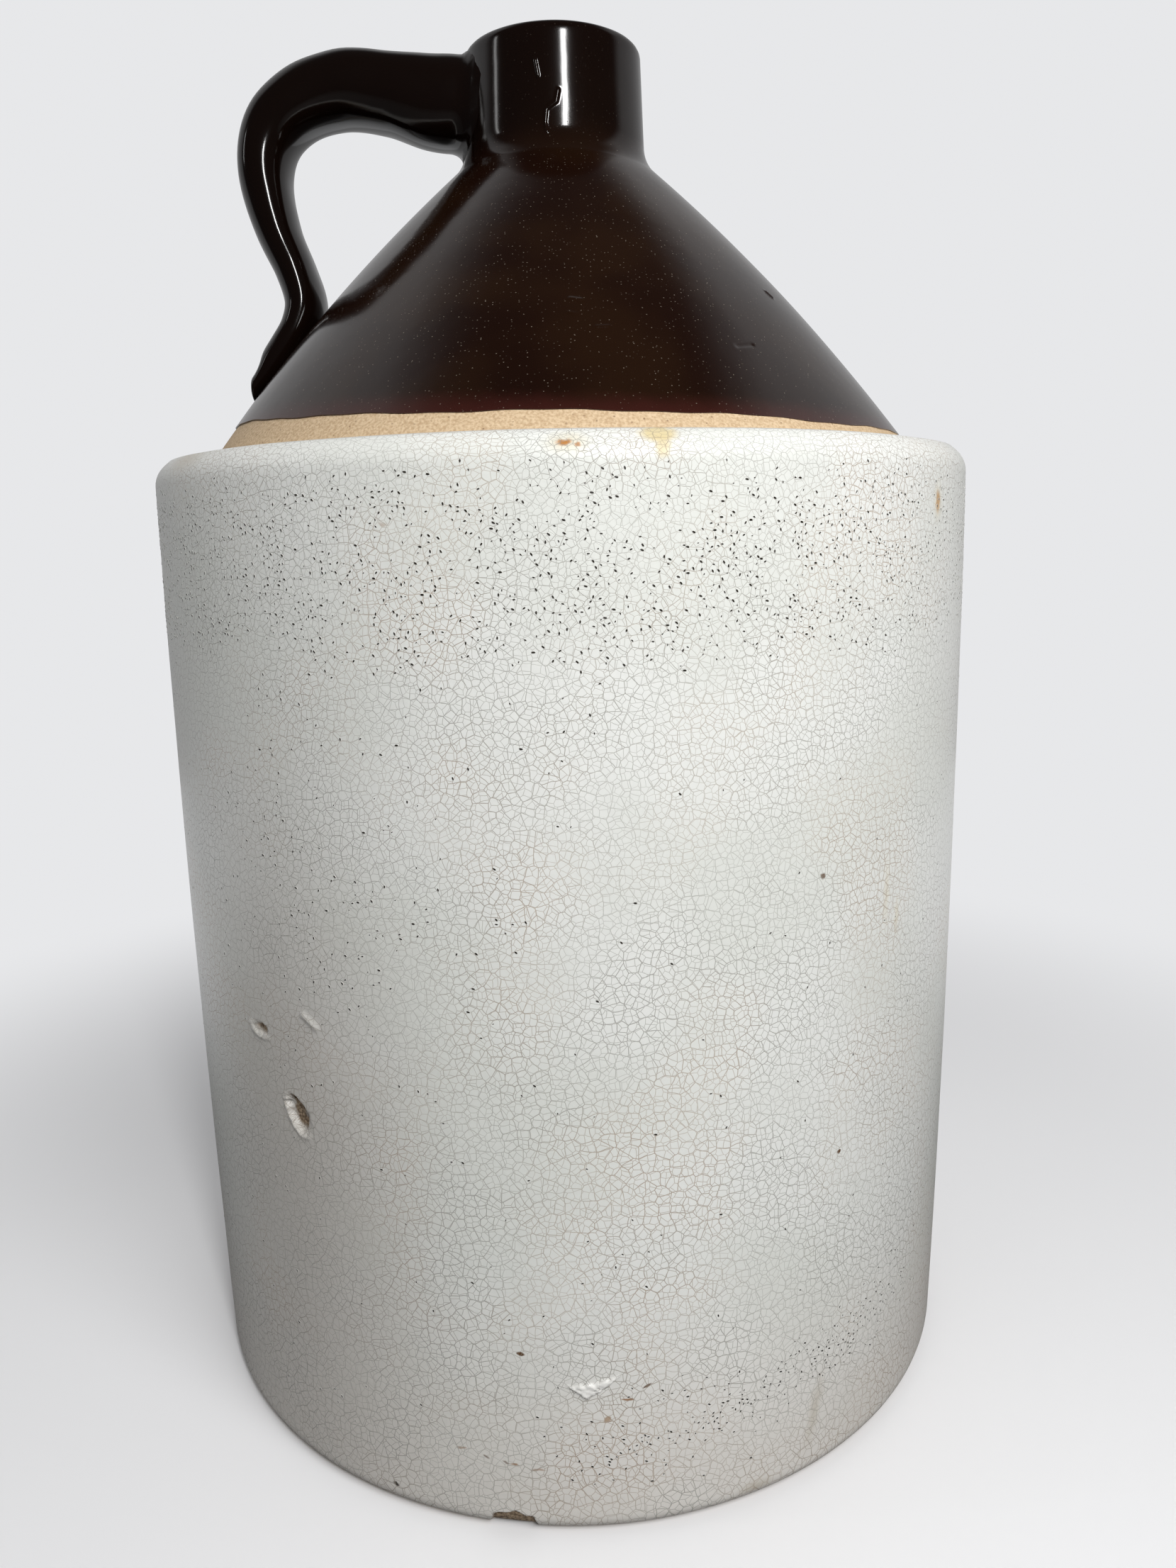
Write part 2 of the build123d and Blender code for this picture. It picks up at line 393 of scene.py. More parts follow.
def craze(cell, half_line, strength):
    """A net of cracks with cells of one size at the foot. Sizes in metres."""
    net = add(tree, "ShaderNodeTexVoronoi", {"Vector": bent, "Scale": 1 / cell},
              feature="DISTANCE_TO_EDGE", voronoi_dimensions="2D")
    return ramp(tree, net.outputs["Distance"], 0.2 * half_line / cell, 1.6 * half_line / cell, strength, 0.0)


crack = sums(tree, "MAXIMUM", craze(0.0043, 0.00013, 1.0), craze(0.0026, 0.00010, 0.8))
crack = sums(tree, "MULTIPLY", crack, ramp(tree, noise(tree, place, 0.03), 0.3, 0.65, 0.6, 1.0))
foot_warmth = ramp(tree, spot["Z"], 0.0, 0.10, 1.0, 0.0)
cloud = ramp(tree, noise(tree, place, 0.06), 0.35, 0.65)
white = blend(tree, cloud, (0.69, 0.70, 0.66), (0.75, 0.755, 0.725))
white = blend(tree, sums(tree, "MULTIPLY", foot_warmth, 0.6), white, (0.70, 0.65, 0.60))
browner = ramp(tree, noise(tree, place, 0.045), 0.42, 0.66)
crack_colour = blend(tree, browner, (0.27, 0.26, 0.23), (0.33, 0.24, 0.165))
print("white glaze: two nets of cracks, 4.3 and 2.6 mm at the foot")

# %% [markdown]
# Iron in the clay has bled through the coat in a few places: amber spots under the ledge, a yellow run
# below the bare band and rusty dashes by the foot. A large faint warm cloud of painted shade darkens the
# lower left. Each stain, and the cloud, is an oval on the wall. A Mapping node of the texture type moves
# the oval to the origin and makes it round, so its length is the distance from it.


# %% White glaze: stains and painted shade
def lay_stain_and_shade(tree, base, ragged, azimuth, height, width, tall, colour, strength, soft=0.5, tilt=0.0):
    """Lays one oval over a colour: a stain, or a cloud of painted shade. Sizes in millimetres; tilt in degrees."""
    oval = add(tree, "ShaderNodeMapping", {
        "Vector": ragged, "Location": on_wall(azimuth, height * MM, belly_radius),
        "Rotation": (0, math.radians(tilt), math.radians(azimuth)),
        "Scale": (width / 2 * MM, 0.02, tall / 2 * MM),
    }, vector_type="TEXTURE")
    away = add(tree, "ShaderNodeVectorMath", {0: oval.outputs[0]}, operation="LENGTH")
    return blend(tree, ramp(tree, away.outputs["Value"], 1 - soft, 1 + soft, strength, 0.0), base, colour)


amber, yellow, rust, umber = (0.42, 0.17, 0.03), (0.62, 0.50, 0.24), (0.30, 0.15, 0.06), (0.12, 0.06, 0.025)
rough_edge = add(tree, "ShaderNodeTexNoise", {"Vector": place, "Scale": 1 / 0.003, "Detail": 2.0})
ragged = add(tree, "ShaderNodeVectorMath", {0: rough_edge.outputs["Color"], 1: (0.5, 0.5, 0.5)}, operation="SUBTRACT")
ragged = add(tree, "ShaderNodeVectorMath", {0: ragged.outputs[0], "Scale": 0.0022}, operation="SCALE")
ragged = add(tree, "ShaderNodeVectorMath", {0: place, 1: ragged.outputs[0]}, operation="ADD").outputs[0]
stains_and_painted_shade = [
    (0.5, 326.6, 9.0, 4.5, yellow, 0.35, 0.8, 0), (0.3, 326.8, 3.4, 1.7, amber, 0.95, 0.5, 0),
    (1.6, 326.2, 1.4, 1.0, amber, 0.8, 0.5, 0), (52.1, 311.7, 3.0, 6.0, amber, 0.9, 0.45, 0),
    (52.1, 311.7, 5.0, 9.0, yellow, 0.3, 0.8, 0), (10.2, 329.0, 10.0, 4.0, yellow, 0.8, 0.4, 0),
    (10.3, 325.4, 4.0, 5.0, yellow, 0.7, 0.6, 0), (30.1, 206.0, 1.8, 1.5, umber, 0.9, 0.4, 0),
    (41.5, 195.0, 2.5, 16.0, yellow, 0.22, 0.9, 0), (44.0, 186.0, 2.0, 9.0, yellow, 0.25, 0.9, 0),
    (33.9, 115.2, 1.4, 1.3, umber, 1.0, 0.35, 0), (-7.6, 65.1, 1.9, 1.3, umber, 1.0, 0.35, 20),
    (7.4, 52.6, 3.0, 0.9, umber, 0.9, 0.4, -25), (5.1, 48.4, 3.6, 0.8, rust, 0.9, 0.4, 5),
    (2.6, 42.0, 1.8, 2.2, (0.36, 0.22, 0.11), 0.75, 0.4, 20), (-15.6, 29.0, 2.4, 0.9, rust, 0.6, 0.5, -10),
    (-12.5, 27.3, 2.2, 1.0, umber, 0.7, 0.5, 25), (-10.0, 26.0, 2.4, 0.8, umber, 0.7, 0.5, 20),
    (-8.9, 25.4, 2.6, 0.8, rust, 0.8, 0.5, 10), (-6.0, 24.0, 4.0, 0.9, rust, 0.6, 0.6, 0),
    (-25.3, 8.5, 2.4, 1.6, (0.02, 0.015, 0.01), 1.0, 0.4, 10),
    (31.0, 25.0, 4.0, 20.0, (0.42, 0.36, 0.26), 0.4, 0.9, 12),
    (22.0, 6.0, 9.0, 4.0, (0.42, 0.36, 0.26), 0.45, 0.9, 0), (-19.2, 307.6, 2.0, 1.2, rust, 0.4, 0.6, 0),
    # painted shade: the large warm cloud over the lower left
    (-37.0, 112.0, 72.0, 175.0, (0.41, 0.37, 0.33), 0.6, 0.95, 0),
    (-53.5, 329.0, 22.0, 6.0, (0.45, 0.36, 0.24), 0.4, 0.8, 0),
]
for azimuth, up, width, tall, colour, strength, soft, tilt in stains_and_painted_shade:
    white = lay_stain_and_shade(tree, white, ragged, azimuth, up, width, tall, colour, strength, soft, tilt)
# the cracks run through the stains and the painted shade too
white = blend(tree, sums(tree, "MULTIPLY", crack, 0.85), white, crack_colour)
print("white glaze:", len(stains_and_painted_shade), "stains_and_painted_shade")

# %% [markdown]
# Where a chip or a burst bubble has broken the coat, the clay shows. The marks are pressed into the mesh
# further on, and they leave an attribute called bare there, from 0 to 1, which this finish reads. A
# second one, plain, marks a flake that stuck on later and has no crazing.

# %% White glaze: bare clay and relief
bare = add(tree, "ShaderNodeAttribute", attribute_name="bare").outputs["Fac"]
grain = noise(tree, place, 0.0009, 3.0)
broken_clay = blend(tree, ramp(tree, grain, 0.35, 0.65), (0.12, 0.08, 0.048), (0.36, 0.27, 0.18))
plain = add(tree, "ShaderNodeAttribute", attribute_name="plain").outputs["Fac"]
white = blend(tree, plain, white, (0.80, 0.79, 0.755))
tree.links.new(blend(tree, bare, white, broken_clay), shader.inputs["Base Color"])
tree.links.new(ramp(tree, bare, 0.2, 0.8, 0.3, 0.8), shader.inputs["Roughness"])
peel = noise(tree, place, 0.0028, 1.0)
relief(tree, shader, (peel, 0.00012), (crack, -0.00003))

# %% [markdown]
# ## Brown slip
# The top was dipped in a clay slip that fires to a dark glossy brown. It is almost black where thick,
# thins to a maroon line at its lower edge, and carries fine pale specks. Specks are the middles of small
# Voronoi cells, kept where the cell's own random colour is high. An attribute called thick tells where the
# slip lies so deep that it looks black: on the handle and around the neck.

# %% Brown slip
dip_height = 338.5 * MM
dip_tilt = (-0.030, 0.021)
brown_slip, tree, shader, place = new_finish("brown_slip_glaze", 0.12)
tilted = add(tree, "ShaderNodeVectorMath", {0: place, 1: (-dip_tilt[0], -dip_tilt[1], 1.0)}, operation="DOT_PRODUCT")
over_line = sums(tree, "SUBTRACT", tilted.outputs["Value"], dip_height)
uneven_edge = sums(tree, "MULTIPLY", noise(tree, place, 0.006), 0.002)
thin = ramp(tree, sums(tree, "ADD", over_line, uneven_edge), 0.0015, 0.0085, 1.0, 0.0)
cloud = ramp(tree, noise(tree, place, 0.035), 0.35, 0.65)
brown = blend(tree, cloud, (0.0080, 0.0024, 0.0010), (0.0125, 0.0048, 0.0018))
thick = add(tree, "ShaderNodeAttribute", attribute_name="thick").outputs["Fac"]
brown = blend(tree, thick, brown, (0.0036, 0.0016, 0.0010))
brown = blend(tree, sums(tree, "MULTIPLY", thin, 0.8), brown, (0.036, 0.0085, 0.0065))
cells = add(tree, "ShaderNodeTexVoronoi", {"Vector": place, "Scale": 1 / 0.0011}, feature="F1")
chosen = add(tree, "ShaderNodeSeparateColor", {0: cells.outputs["Color"]}).outputs
speck = ramp(tree, cells.outputs["Distance"], 0.08, 0.23, 1.0, 0.0)
speck = sums(tree, "MULTIPLY", speck, ramp(tree, chosen[0], 0.4, 1.0))
speck = sums(tree, "MULTIPLY", speck, sums(tree, "SUBTRACT", 1.0, thick))
brown = blend(tree, sums(tree, "MULTIPLY", speck, 0.6), brown, (0.20, 0.165, 0.13))
tree.links.new(brown, shader.inputs["Base Color"])
relief(tree, shader, (noise(tree, place, 0.009, 1.0), 0.00006), (speck, 0.00002))
print("brown slip: dark, glossy, specked")

# %% [markdown]
# ## Bare clay
# Between the slip and the white coat a band of fired clay is left bare, and so is the foot. It is a buff
# stoneware with dark iron specks and a sandy grain.

# %% Bare clay
bare_clay, tree, shader, place = new_finish("bare_buff_clay", 0.85)
grain = noise(tree, place, 0.0008, 3.0)
clay = blend(tree, ramp(tree, grain, 0.3, 0.7), (0.45, 0.315, 0.185), (0.62, 0.475, 0.31))
cells = add(tree, "ShaderNodeTexVoronoi", {"Vector": place, "Scale": 1 / 0.0016}, feature="F1")
chosen = add(tree, "ShaderNodeSeparateColor", {0: cells.outputs["Color"]}).outputs[0]
speck = ramp(tree, cells.outputs["Distance"], 0.1, 0.28, 1.0, 0.0)
speck = sums(tree, "MULTIPLY", speck, ramp(tree, chosen, 0.7, 0.9))
clay = blend(tree, sums(tree, "MULTIPLY", speck, 0.7), clay, (0.16, 0.09, 0.045))
bare = add(tree, "ShaderNodeAttribute", attribute_name="bare").outputs["Fac"]
dirty_clay = blend(tree, ramp(tree, grain, 0.35, 0.65), (0.13, 0.09, 0.055), (0.34, 0.26, 0.18))
tree.links.new(blend(tree, bare, clay, dirty_clay), shader.inputs["Base Color"])
relief(tree, shader, (grain, 0.00025))
print("bare clay: buff and specked")

# %% [markdown]
# ## White body
# The coat is turned as a closed shell. Its outside is where the solid's is; its inside goes a little
# deeper than the real coat, so that pits can be pressed in without breaking through. It thins to the real
# coat at the foot line and where it meets the shoulder. Three low rings on the ledge are throwing marks.

# %% Turn the white body
body_corners = [
    (0, 0, 0, 0), (foot_radius, 0, foot_rounding, wall_swell),
    (ledge_radius, ledge_height, ledge_rounding, 0), (shoulder_radius, ledge_height, 0, 0),
]
white_line = grown(half_section(body_corners, 2.3 * MM), white_coat)
white_line = white_line[(white_line[:, 1] > white_low.z) & (white_line[:, 0] > shoulder_radius)]
white_line = np.vstack([white_line, [shoulder_radius, white_high.z]])
for ring_radius, ring_lift, ring_width in ((138.5, 0.35, 1.0), (133.0, 0.22, 1.3), (128.8, 0.15, 0.9)):
    on_ledge = white_line[:, 1] > ledge_height - 2 * MM
    lift = ring_lift * np.exp(-((white_line[:, 0] / MM - ring_radius) / ring_width) ** 2)
    white_line[:, 1] += lift * on_ledge * MM
pit_room = 2.8 * MM
share = np.linspace(0, 1, len(white_line))
coat_depth = white_coat + pit_room * np.clip(np.minimum(share, 1 - share) * 12, 0, 1)
white_body = turn("white_body", closed_shell(white_line, coat_depth, 8), 360, white_glaze, 0.5 * MM, 0.07)


# %% [markdown]
# ## Chips, craters and lumps
# A burst bubble at the left, a stuck flake low in front, a chip in the foot: these are shapes, so they
# are made in the mesh. First the faces around each mark are cut smaller, then every point near it is moved
# in or out by a depth worked out from its place on the wall, in millimetres right of and above the mark.


# %% Helpers for marks
def points_of(piece):
    """The piece's points as an array of rows."""
    flat = np.empty(len(piece.data.vertices) * 3)
    piece.data.vertices.foreach_get("co", flat)
    return flat.reshape(-1, 3)


def refine(piece, spots, cuts):
    """Cuts the faces near each spot into smaller ones. A spot is a place and a reach."""
    centres = np.array([face.center for face in piece.data.polygons])
    near = np.zeros(len(centres), bool)
    for place, reach in spots:
        near |= np.linalg.norm(centres - np.array(place), axis=1) < reach
    work = bmesh.new()
    work.from_mesh(piece.data)
    work.faces.ensure_lookup_table()
    edges = {edge for number in np.flatnonzero(near) for edge in work.faces[number].edges}
    bmesh.ops.subdivide_edges(work, edges=list(edges), cuts=cuts, use_grid_fill=True)
    work.to_mesh(piece.data)
    work.free()


def soft_step(value, start, end):
    share = np.clip((value - start) / (end - start), 0, 1)
    return share * share * (3 - 2 * share)


def ragged_line(x, y, size):
    """A bounded wander that makes an edge uneven."""
    return size * (np.sin(x * 2.3 + 1) * np.cos(y * 1.9) + 0.6 * np.sin(y * 4.1 + x * 3.3))


def press(piece, place, azimuth, reach, shape):
    """Moves the points near a place in or out by the shape's lift, and notes its paint, if it has one."""
    swing = math.radians(azimuth)
    right = np.array([math.cos(swing), math.sin(swing), 0])
    out = np.array([math.sin(swing), -math.cos(swing), 0])
    points = points_of(piece)
    away = points - np.array(place)
    near = (np.linalg.norm(away, axis=1) < reach)
    lift, paint, share = shape(away[near] @ right / MM, away[near, 2] / MM)
    points[near] += lift[:, None] * MM * out
    piece.data.vertices.foreach_set("co", points.ravel())
    if paint:
        shown = piece.data.attributes.get(paint) or piece.data.attributes.new(paint, "FLOAT", "POINT")
        values = np.empty(len(points))
        shown.data.foreach_get("value", values)
        values[near] = np.maximum(values[near], share)
        shown.data.foreach_set("value", values)
    piece.data.update()


# %% Shapes of the marks
def burst_bubble(x, y):
    """A pit with a steep bright wall at its left and foot, a long valley and a shallow right side."""
    lean = x + 0.30 * y + ragged_line(x * 0.6, y * 0.6, 0.5)
    edge = np.hypot(lean / 5.6, (y - 0.03 * x * x) / 6.6)
    steep = 0.17 + 0.7 * soft_step(lean, -2.0, 2.5)
    sunk = soft_step((1 - edge) / steep, 0, 1)
    lip = np.exp(-((edge - 1.05) / 0.12) ** 2) * soft_step(-lean - y * 0.6, -1, 3)
    left, right = soft_step(lean, -4.6 + 0.25 * np.abs(y - 1), -3.2), soft_step(lean + 0.25 * y, 2.4, 0.4)
    bare_floor = left * right * soft_step(y + 0.4 * lean, -6.0, -3.6) * soft_step(sunk, 0.2, 0.6)
    return 0.35 * lip - 2.1 * sunk, "bare", bare_floor


def small_pit(x, y):
    """A dark pit with a pale rim below it."""
    edge = np.hypot(x / 4.1, y / 2.2) + ragged_line(x, y, 0.10)
    rim = np.exp(-((edge - 1.35) / 0.3) ** 2) * soft_step(-y - 0.4 * x, -0.5, 2)
    gone = soft_step(1.0 - edge, 0, 0.55)
    return 0.45 * rim - 1.1 * gone, "bare", gone * soft_step(y + 0.2 * x, -2.4, 0)


def glaze_ridge(x, y):
    """A short raised run that slopes down to the right."""
    across = (y + 0.58 * x) / 1.16
    along = (x - 0.58 * y) / 1.16
    return 0.62 * np.exp(-(across / 1.15) ** 2) * soft_step(4.8 - np.abs(along), 0, 2.2), None, None


def stuck_flake(x, y):
    """A three cornered flake, with its long point up at the right."""
    corners = [(-6.4, 0.3), (-1.9, -3.3), (2.2, -0.9), (7.0, 2.9), (0.4, 1.4)]
    inside = np.full(x.shape, -9.0)
    for three in ((0, 1, 2), (0, 2, 4), (4, 2, 3)):
        within = np.full(x.shape, 9.0)
        for first, second in zip(three, three[1:] + three[:1]):
            (ax, ay), (bx, by) = corners[first], corners[second]
            within = np.minimum(within, ((bx - ax) * (y - ay) - (by - ay) * (x - ax)) / math.hypot(bx - ax, by - ay))
        inside = np.maximum(inside, within)
    inside = inside + ragged_line(x * 0.9, y * 1.4, 0.3) + 0.3
    up = soft_step(inside, -0.1, 0.5)
    return up * (0.85 + ragged_line(x * 0.5, y * 0.7, 0.16)), "plain", soft_step(inside, 0, 0.3)


def foot_chip(x, y):
    """A shallow chip along the foot's edge, with rounded ends."""
    top = 5.2 - 0.035 * x * x + ragged_line(x * 0.4, 0 * x, 0.3)
    gone = soft_step(7.6 - np.abs(x) - 0.25 * np.clip(y, 0, 9), 0, 0.7) * soft_step(top - y, 0, 0.5)
    return -1.0 * gone, "bare", gone


# %% Press the marks into the white body
body_marks = [
    (-36.4, 130.6, 13, burst_bubble), (-42.9, 155.4, 7, small_pit), (-33.4, 163.6, 9, glaze_ridge),
    (0.9, 53.6, 10, stuck_flake), (-9.4, 2.6, 11, foot_chip),
]
spots = [(on_wall(azimuth, up * MM, belly_radius), reach * MM) for azimuth, up, reach, _ in body_marks]
refine(white_body, spots, 5)
for (azimuth, _, _, shape), (place, reach) in zip(body_marks, spots):
    press(white_body, place, azimuth, reach, shape)
print("white body:", len(body_marks), "marks,", len(white_body.data.polygons), "faces")
belongs(white_body, "white_glaze", "body_glaze")

# %% [markdown]
# ## Pinholes
# Gas that left the clay late has pricked the white coat, most of all in a belt under the ledge and in a
# drift by the foot. There are thousands of them, so Geometry Nodes scatter one small crater over the
# body. Each crater is a low dish standing on the glaze, and its dark middle is painted shade in place of
# the hole. How thickly they stand is an attribute on the body's points, and noise gathers them in clusters.

# %% Where the pinholes stand
places = points_of(white_body) / MM
azimuths = np.degrees(np.arctan2(places[:, 0], -places[:, 1]))
ups = places[:, 2]
belt = soft_step(ups, 266, 280) * soft_step(ups, 325, 312)
drift_line = 29 + 0.5 * np.clip(azimuths, 0, 60)
drift = np.exp(-((ups - drift_line) / 9) ** 2) * soft_step(azimuths, -5, 2) * soft_step(azimuths, 62, 45)
left_patch = np.exp(-((azimuths + 32) / 16) ** 2 - ((ups - 205) / 45) ** 2)
scattered = 0.02 * soft_step(ups, 10, 30) * soft_step(ups, 324, 318)
outside = np.hypot(places[:, 0], places[:, 1]) > (belly_radius / MM - 3.0)
near_front = np.exp(-((azimuths - 0.3) / 2.6) ** 2 - ((ups - 258.5) / 4) ** 2)
thickness = np.clip(0.8 * belt + 1.0 * drift + 0.28 * left_patch + 0.7 * near_front + scattered, 0, 1) * outside
marker = white_body.data.attributes.new("pinholes", "FLOAT", "POINT")
marker.data.foreach_set("value", thickness)
print(f"pinholes: thickest {thickness.max():.2f}")

# %% One pinhole, its dark middle painted shade
pinhole_glaze, tree, shader, place = new_finish("pinhole_glaze", 0.35)
painted_pit_shade = add(tree, "ShaderNodeAttribute", attribute_name="painted_pit_shade").outputs["Fac"]
dish_and_painted_pit = blend(tree, ramp(tree, painted_pit_shade, 0.12, 0.3), (0.72, 0.72, 0.68), (0.022, 0.018, 0.012))
tree.links.new(dish_and_painted_pit, shader.inputs["Base Color"])
sides, slim = 7, 0.52
# each ring: radius, height and its share of the painted shade that stands for the hole
profile = [(1.0, -0.10, 0.0), (0.62, 0.14, 0.25)]
crater = bpy.data.meshes.new("pinhole")
corners = [(r * math.cos(2 * math.pi * k / sides), slim * r * math.sin(2 * math.pi * k / sides), up)
           for r, up, _ in profile for k in range(sides)] + [(0, 0, 0.02)]
faces = [(k, (k + 1) % sides, sides + (k + 1) % sides, sides + k) for k in range(sides)]
faces += [(sides + k, sides + (k + 1) % sides, 2 * sides) for k in range(sides)] + [tuple(range(sides))[::-1]]
crater.from_pydata(corners, [], faces)
depth = crater.attributes.new("painted_pit_shade", "FLOAT", "POINT")
depth.data.foreach_set("value", [shade_share for _, _, shade_share in profile for _ in range(sides)] + [1.0])
crater_pattern = bpy.data.objects.new("pinhole", crater)
bpy.context.scene.collection.objects.link(crater_pattern)

# %% The pinhole tree
scatter, given = new_tree("glaze_pinholes", {
    "Body": "Object", "Pinhole": "Object", "Most Per Square Metre": "Float", "Least Apart": "Float",
    "Cluster Spacing": "Float", "Smallest": "Float", "Largest": "Float", "Seed": "Int", "Material": "Material",
})
ground = add(scatter, "GeometryNodeObjectInfo", {"Object": given["Body"]})
stand = add(scatter, "GeometryNodeInputNamedAttribute", {"Name": "pinholes"}, data_type="FLOAT")
gather = add(scatter, "ShaderNodeTexNoise", {
    "Scale": sums(scatter, "DIVIDE", 1.0, given["Cluster Spacing"]), "Detail": 2.0,
})
gathered = add(scatter, "ShaderNodeMapRange", {
    "Value": gather.outputs[0], "From Min": 0.34, "From Max": 0.58, "To Min": 0.12,
})
share = sums(scatter, "MULTIPLY", stand.outputs[0], gathered.outputs[0])
strewn = add(scatter, "GeometryNodeDistributePointsOnFaces", {
    "Mesh": ground.outputs["Geometry"], "Distance Min": given["Least Apart"],
    "Density Max": given["Most Per Square Metre"], "Density Factor": share, "Seed": given["Seed"],
}, distribute_method="POISSON")
sized = add(scatter, "FunctionNodeRandomValue", {
    2: given["Smallest"], 3: given["Largest"], 8: given["Seed"],
}, data_type="FLOAT")
spin = add(scatter, "FunctionNodeRandomValue", {2: 0.0, 3: 2 * math.pi, 8: given["Seed"]}, data_type="FLOAT")
about = add(scatter, "ShaderNodeCombineXYZ", {"Z": spin.outputs[1]})
about = add(scatter, "FunctionNodeEulerToRotation", {0: about.outputs[0]})
facing = add(scatter, "FunctionNodeRotateRotation", {
    "Rotation": strewn.outputs["Rotation"], "Rotate By": about.outputs[0],
}, rotation_space="LOCAL")
one = add(scatter, "GeometryNodeObjectInfo", {"Object": given["Pinhole"]})
standing = add(scatter, "GeometryNodeInstanceOnPoints", {
    "Points": strewn.outputs["Points"], "Instance": one.outputs["Geometry"],
    "Rotation": facing.outputs[0], "Scale": sized.outputs[1],
})
end_tree(scatter, standing.outputs[0], given["Material"])
pinholes = run_tree("glaze_pinholes", scatter, {
    "Body": white_body, "Pinhole": crater_pattern, "Most Per Square Metre": 230000.0, "Least Apart": 1.0 * MM,
    "Cluster Spacing": 0.012, "Smallest": 0.40 * MM, "Largest": 0.82 * MM, "Seed": 7, "Material": pinhole_glaze,
})
bpy.data.objects.remove(crater_pattern)
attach(pinholes, "root")
print("pinholes:", len(pinholes.data.polygons) // (2 * sides + 1))

# %% [markdown]
# ## Clay members
# Under the coats are the clay members themselves. They show only as the foot and as the bare band, but a
# whole jug is modelled whole, and the inside can be seen through the mouth. Each is a closed section.

# %% Turn the clay members
rebate_height = cone_low.z
ceiling_height = ledge_height - ledge_thickness
cavity_foot = foot_radius - wall
cavity_top = ledge_radius - wall
floor_height = lining_low.z
shy = np.array([1.0, 0.0]) * pit_room
crock_outside = half_section(body_corners, 5 * MM)
above_foot, below_ledge = crock_outside[:, 1] - 12 * MM, ledge_height - 14 * MM - crock_outside[:, 1]
inset = np.clip(np.minimum(above_foot, below_ledge) / (8 * MM), 0, 1)
crock_outside = crock_outside - inset[:, None] * shy
crock_inside = half_section([
    (shoulder_radius, ledge_height, 0, 0), (shoulder_radius, rebate_height, 0, 0),
    (throat_radius, rebate_height, 0, 0), (throat_radius, ceiling_height, 0, 0),
    (cavity_top, ceiling_height - haunch_depth, 0, -wall_swell), (cavity_foot, floor_height + floor_cove, 0, 0),
    (cavity_foot - floor_cove, floor_height, 0, 0), (0, floor_height, 0, 0),
], 12 * MM)
crock_clay = turn("crock_clay", np.vstack([crock_outside, crock_inside[1:]]), 192, bare_clay)
chip_place, chip_reach = spots[-1]
refine(crock_clay, [(chip_place, chip_reach)], 5)
press(crock_clay, chip_place, body_marks[-1][0], chip_reach, foot_chip)
belongs(crock_clay, "fired_clay", "crock_body")

neck_underside = neck_low.z
seam_height = cone_high.z
spigot_radius = neck_top_radius
top_corners = [
    (shoulder_radius, rebate_height, 0, 0), (shoulder_radius, ledge_height, 0, shoulder_swell),
    (neck_root_radius, neck_root_height, neck_root_rounding, 0), (neck_top_radius, lip_height, lip_rounding, 0),
    (mouth_radius, lip_height, 0, 0),
]
slip_room = 0.8 * MM
top_line = half_section(top_corners, 1.5 * MM)
covered = np.clip((top_line[:, 1] - dip_height - 5 * MM) / (6 * MM), 0, 1)
top_line = grown(top_line, -slip_room * covered)
below_seam = top_line[:np.argmax(top_line[:, 1] > seam_height)]
above_seam = top_line[np.argmax(top_line[:, 1] > seam_height):]
shoulder_inside = half_section([
    (below_seam[-1, 0], seam_height, 0, 0), (spigot_radius, seam_height, 0, 0),
    (spigot_radius, neck_underside, 0, -shoulder_swell), (throat_radius, ledge_height, 0, 0),
    (throat_radius, rebate_height, 0, 0), (shoulder_radius, rebate_height, 0, 0),
], 12 * MM)
shoulder_clay = turn("shoulder_clay", np.vstack([below_seam, shoulder_inside]), 240, bare_clay)
belongs(shoulder_clay, "fired_clay", "shoulder_cone")
neck_inside = half_section([
    (mouth_radius + lip_chamfer, lip_height, 0, 0), (mouth_radius, lip_height - lip_chamfer, 0, 0),
    (mouth_radius, neck_underside + mouth_flare, 0, 0), (mouth_radius + mouth_flare, neck_underside, 0, 0),
    (spigot_radius, neck_underside, 0, 0), (spigot_radius, seam_height, 0, 0), tuple(above_seam[0]) + (0, 0),
], 8 * MM)
neck_outside = above_seam[above_seam[:, 0] > mouth_radius + lip_chamfer]
neck_clay = turn("neck_clay", np.vstack([neck_outside, neck_inside]), 128, bare_clay)
belongs(neck_clay, "fired_clay", "neck_collar")

# %% [markdown]
# ## Slip on shoulder and neck
# The slip is a thin closed shell over shoulder, neck and lip, and a little way down the mouth. The potter
# dipped the top at a slight tilt, so its lower line climbs to the left, and it wavers. The shell is turned
# level first; then the points near its lower edge are slid along the shoulder to that line.

# %% Turn the slip
lining_top = lining_high.z
slip_line = grown(half_section([
    (shoulder_radius, ledge_height, 0, shoulder_swell),
    (neck_root_radius, neck_root_height, neck_root_rounding, 0), (neck_top_radius, lip_height, lip_rounding, 0),
    (mouth_radius, lip_height, lip_rounding, 0), (mouth_radius, lining_top, 0, 0),
], 1.4 * MM), brown_coat)
slip_line = slip_line[np.argmax(slip_line[:, 1] > dip_height):]
along = np.cumsum(np.hypot(*np.gradient(slip_line, axis=0).T))
from_edge = np.clip((along - 12 * MM) / (8 * MM), 0, 1)
from_mouth = np.clip((along[-1] - along) / (8 * MM), 0, 1)
slip_depth = brown_coat + slip_room * from_edge * from_mouth
slip_skin = turn("slip_skin", closed_shell(slip_line, slip_depth, 3), 320, brown_slip, 0.35 * MM, 0.045)

